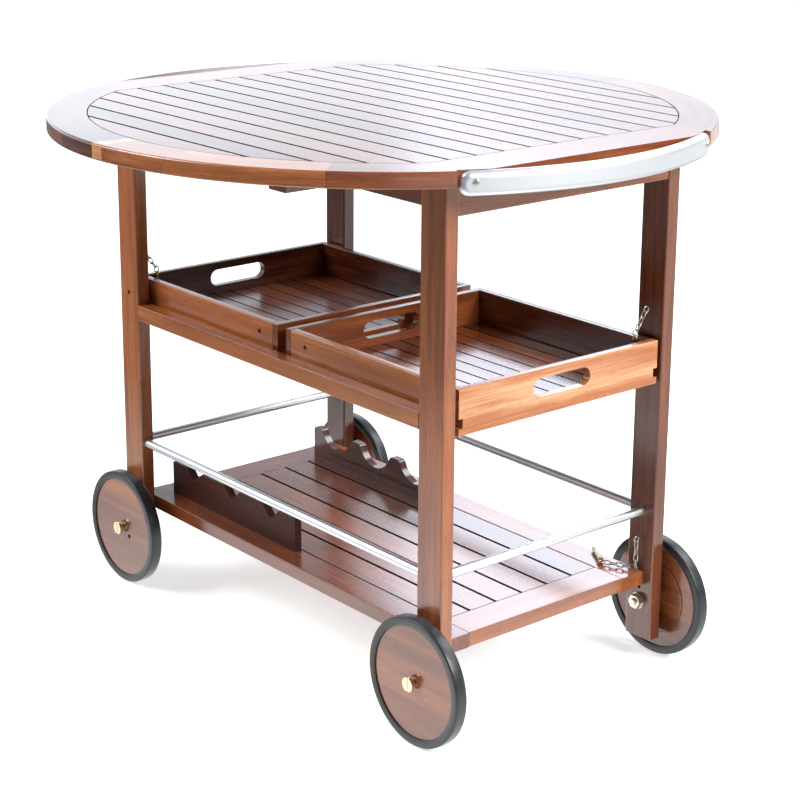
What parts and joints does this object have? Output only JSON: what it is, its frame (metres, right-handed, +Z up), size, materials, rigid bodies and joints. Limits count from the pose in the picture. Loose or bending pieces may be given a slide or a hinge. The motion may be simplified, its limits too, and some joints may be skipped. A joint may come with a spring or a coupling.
{
  "type": "outdoor bar cart",
  "caption": "Round-topped wooden outdoor bar cart on wheels, with sliding trays, a bottle rack on a lower shelf, aluminium rails and curved end handles.",
  "frame": {"origin": "on the floor, under the middle of the round top", "axes": "+Z up, +X along the cart towards the right handle, -Y the front long side"},
  "size_m": [0.953, 0.95, 0.782],
  "materials": {
    "wood": "oiled hardwood",
    "aluminium": "satin",
    "rubber": "matt black",
    "brass": "satin",
    "steel": "zinc plated"
  },
  "bodies": {
    "frame": {"axle_bolts": "brass", "axle_nuts": "steel", "axle_washers": "steel", "end_apron_left": "wood", "end_apron_right": "wood", "end_tube_left": "aluminium", "end_tube_right": "aluminium", "frame_dowels": "wood", "handle_left": "aluminium", "handle_right": "aluminium", "handle_screws": "steel", "leg_back_left": "wood", "leg_back_right": "wood", "leg_front_left": "wood", "leg_front_right": "wood", "lock_chains": "steel", "lock_screw_eyes": "steel", "long_apron_back": "wood", "long_apron_front": "wood", "long_tube_back": "aluminium", "long_tube_front": "aluminium", "mid_rail_back": "wood", "mid_rail_front": "wood", "rack_bottle_board": "wood", "rack_neck_board": "wood", "shelf_end_rail_left": "wood", "shelf_end_rail_right": "wood", "shelf_screws": "steel", "shelf_side_rail_back": "wood", "shelf_side_rail_front": "wood", "shelf_slats": "wood", "top_battens": "wood", "top_border_back": "wood", "top_border_front": "wood", "top_end_rail_left": "wood", "top_end_rail_right": "wood", "top_slats": "wood", "tray_runners": "wood"},
    "tray_left": {"tray_left_inner_end": "wood", "tray_left_outer_end": "wood", "tray_left_front_side": "wood", "tray_left_back_side": "wood", "tray_left_floor": "wood"},
    "tray_right": {"tray_right_inner_end": "wood", "tray_right_outer_end": "wood", "tray_right_front_side": "wood", "tray_right_back_side": "wood", "tray_right_floor": "wood"},
    "wheel_front_left": {"wheel_disc_front_left": "wood", "tyre_front_left": "rubber"},
    "wheel_front_right": {"wheel_disc_front_right": "wood", "tyre_front_right": "rubber"},
    "wheel_back_left": {"wheel_disc_back_left": "wood", "tyre_back_left": "rubber"},
    "wheel_back_right": {"wheel_disc_back_right": "wood", "tyre_back_right": "rubber"},
    "wheel_pin_front_left": {"wheel_lock_pin_front_left": "brass"},
    "tray_pin_front_left": {"tray_lock_pin_front_left": "brass"},
    "wheel_pin_back_right": {"wheel_lock_pin_back_right": "brass"},
    "tray_pin_back_right": {"tray_lock_pin_back_right": "brass"}
  },
  "joints": [
    {"name": "tray_left_slide", "type": "slide", "parent": "frame", "child": "tray_left", "axis": [-1, 0, 0], "range_m": [0, 0.302]},
    {"name": "tray_right_slide", "type": "slide", "parent": "frame", "child": "tray_right", "axis": [1, 0, 0], "range_m": [0, 0.302]},
    {"name": "wheel_front_left_spin", "type": "hinge", "parent": "frame", "child": "wheel_front_left", "pos_m": [-0.356, -0.23, 0.09], "axis": [0, 1, 0], "continuous": true},
    {"name": "wheel_front_right_spin", "type": "hinge", "parent": "frame", "child": "wheel_front_right", "pos_m": [0.356, -0.23, 0.09], "axis": [0, 1, 0], "continuous": true},
    {"name": "wheel_back_left_spin", "type": "hinge", "parent": "frame", "child": "wheel_back_left", "pos_m": [-0.356, 0.23, 0.09], "axis": [0, 1, 0], "continuous": true},
    {"name": "wheel_back_right_spin", "type": "hinge", "parent": "frame", "child": "wheel_back_right", "pos_m": [0.356, 0.23, 0.09], "axis": [0, 1, 0], "continuous": true},
    {"name": "wheel_pin_front_left_swing", "type": "hinge", "parent": "frame", "child": "wheel_pin_front_left", "pos_m": [-0.371, -0.171, 0.10563], "axis": [0, 1, 0], "range_deg": [-45, 60]},
    {"name": "tray_pin_front_left_swing", "type": "hinge", "parent": "frame", "child": "tray_pin_front_left", "pos_m": [-0.356, -0.16098, 0.49832], "axis": [1, 0, 0], "range_deg": [-5, 60]},
    {"name": "wheel_pin_back_right_turn", "type": "hinge", "parent": "frame", "child": "wheel_pin_back_right", "pos_m": [0.30978, 0.15945, 0.1428], "axis": [0, 0, 1], "range_deg": [-20, 20]},
    {"name": "tray_pin_back_right_swing", "type": "hinge", "parent": "frame", "child": "tray_pin_back_right", "pos_m": [0.356, 0.16098, 0.49832], "axis": [-1, 0, 0], "range_deg": [-5, 60]}
  ]
}
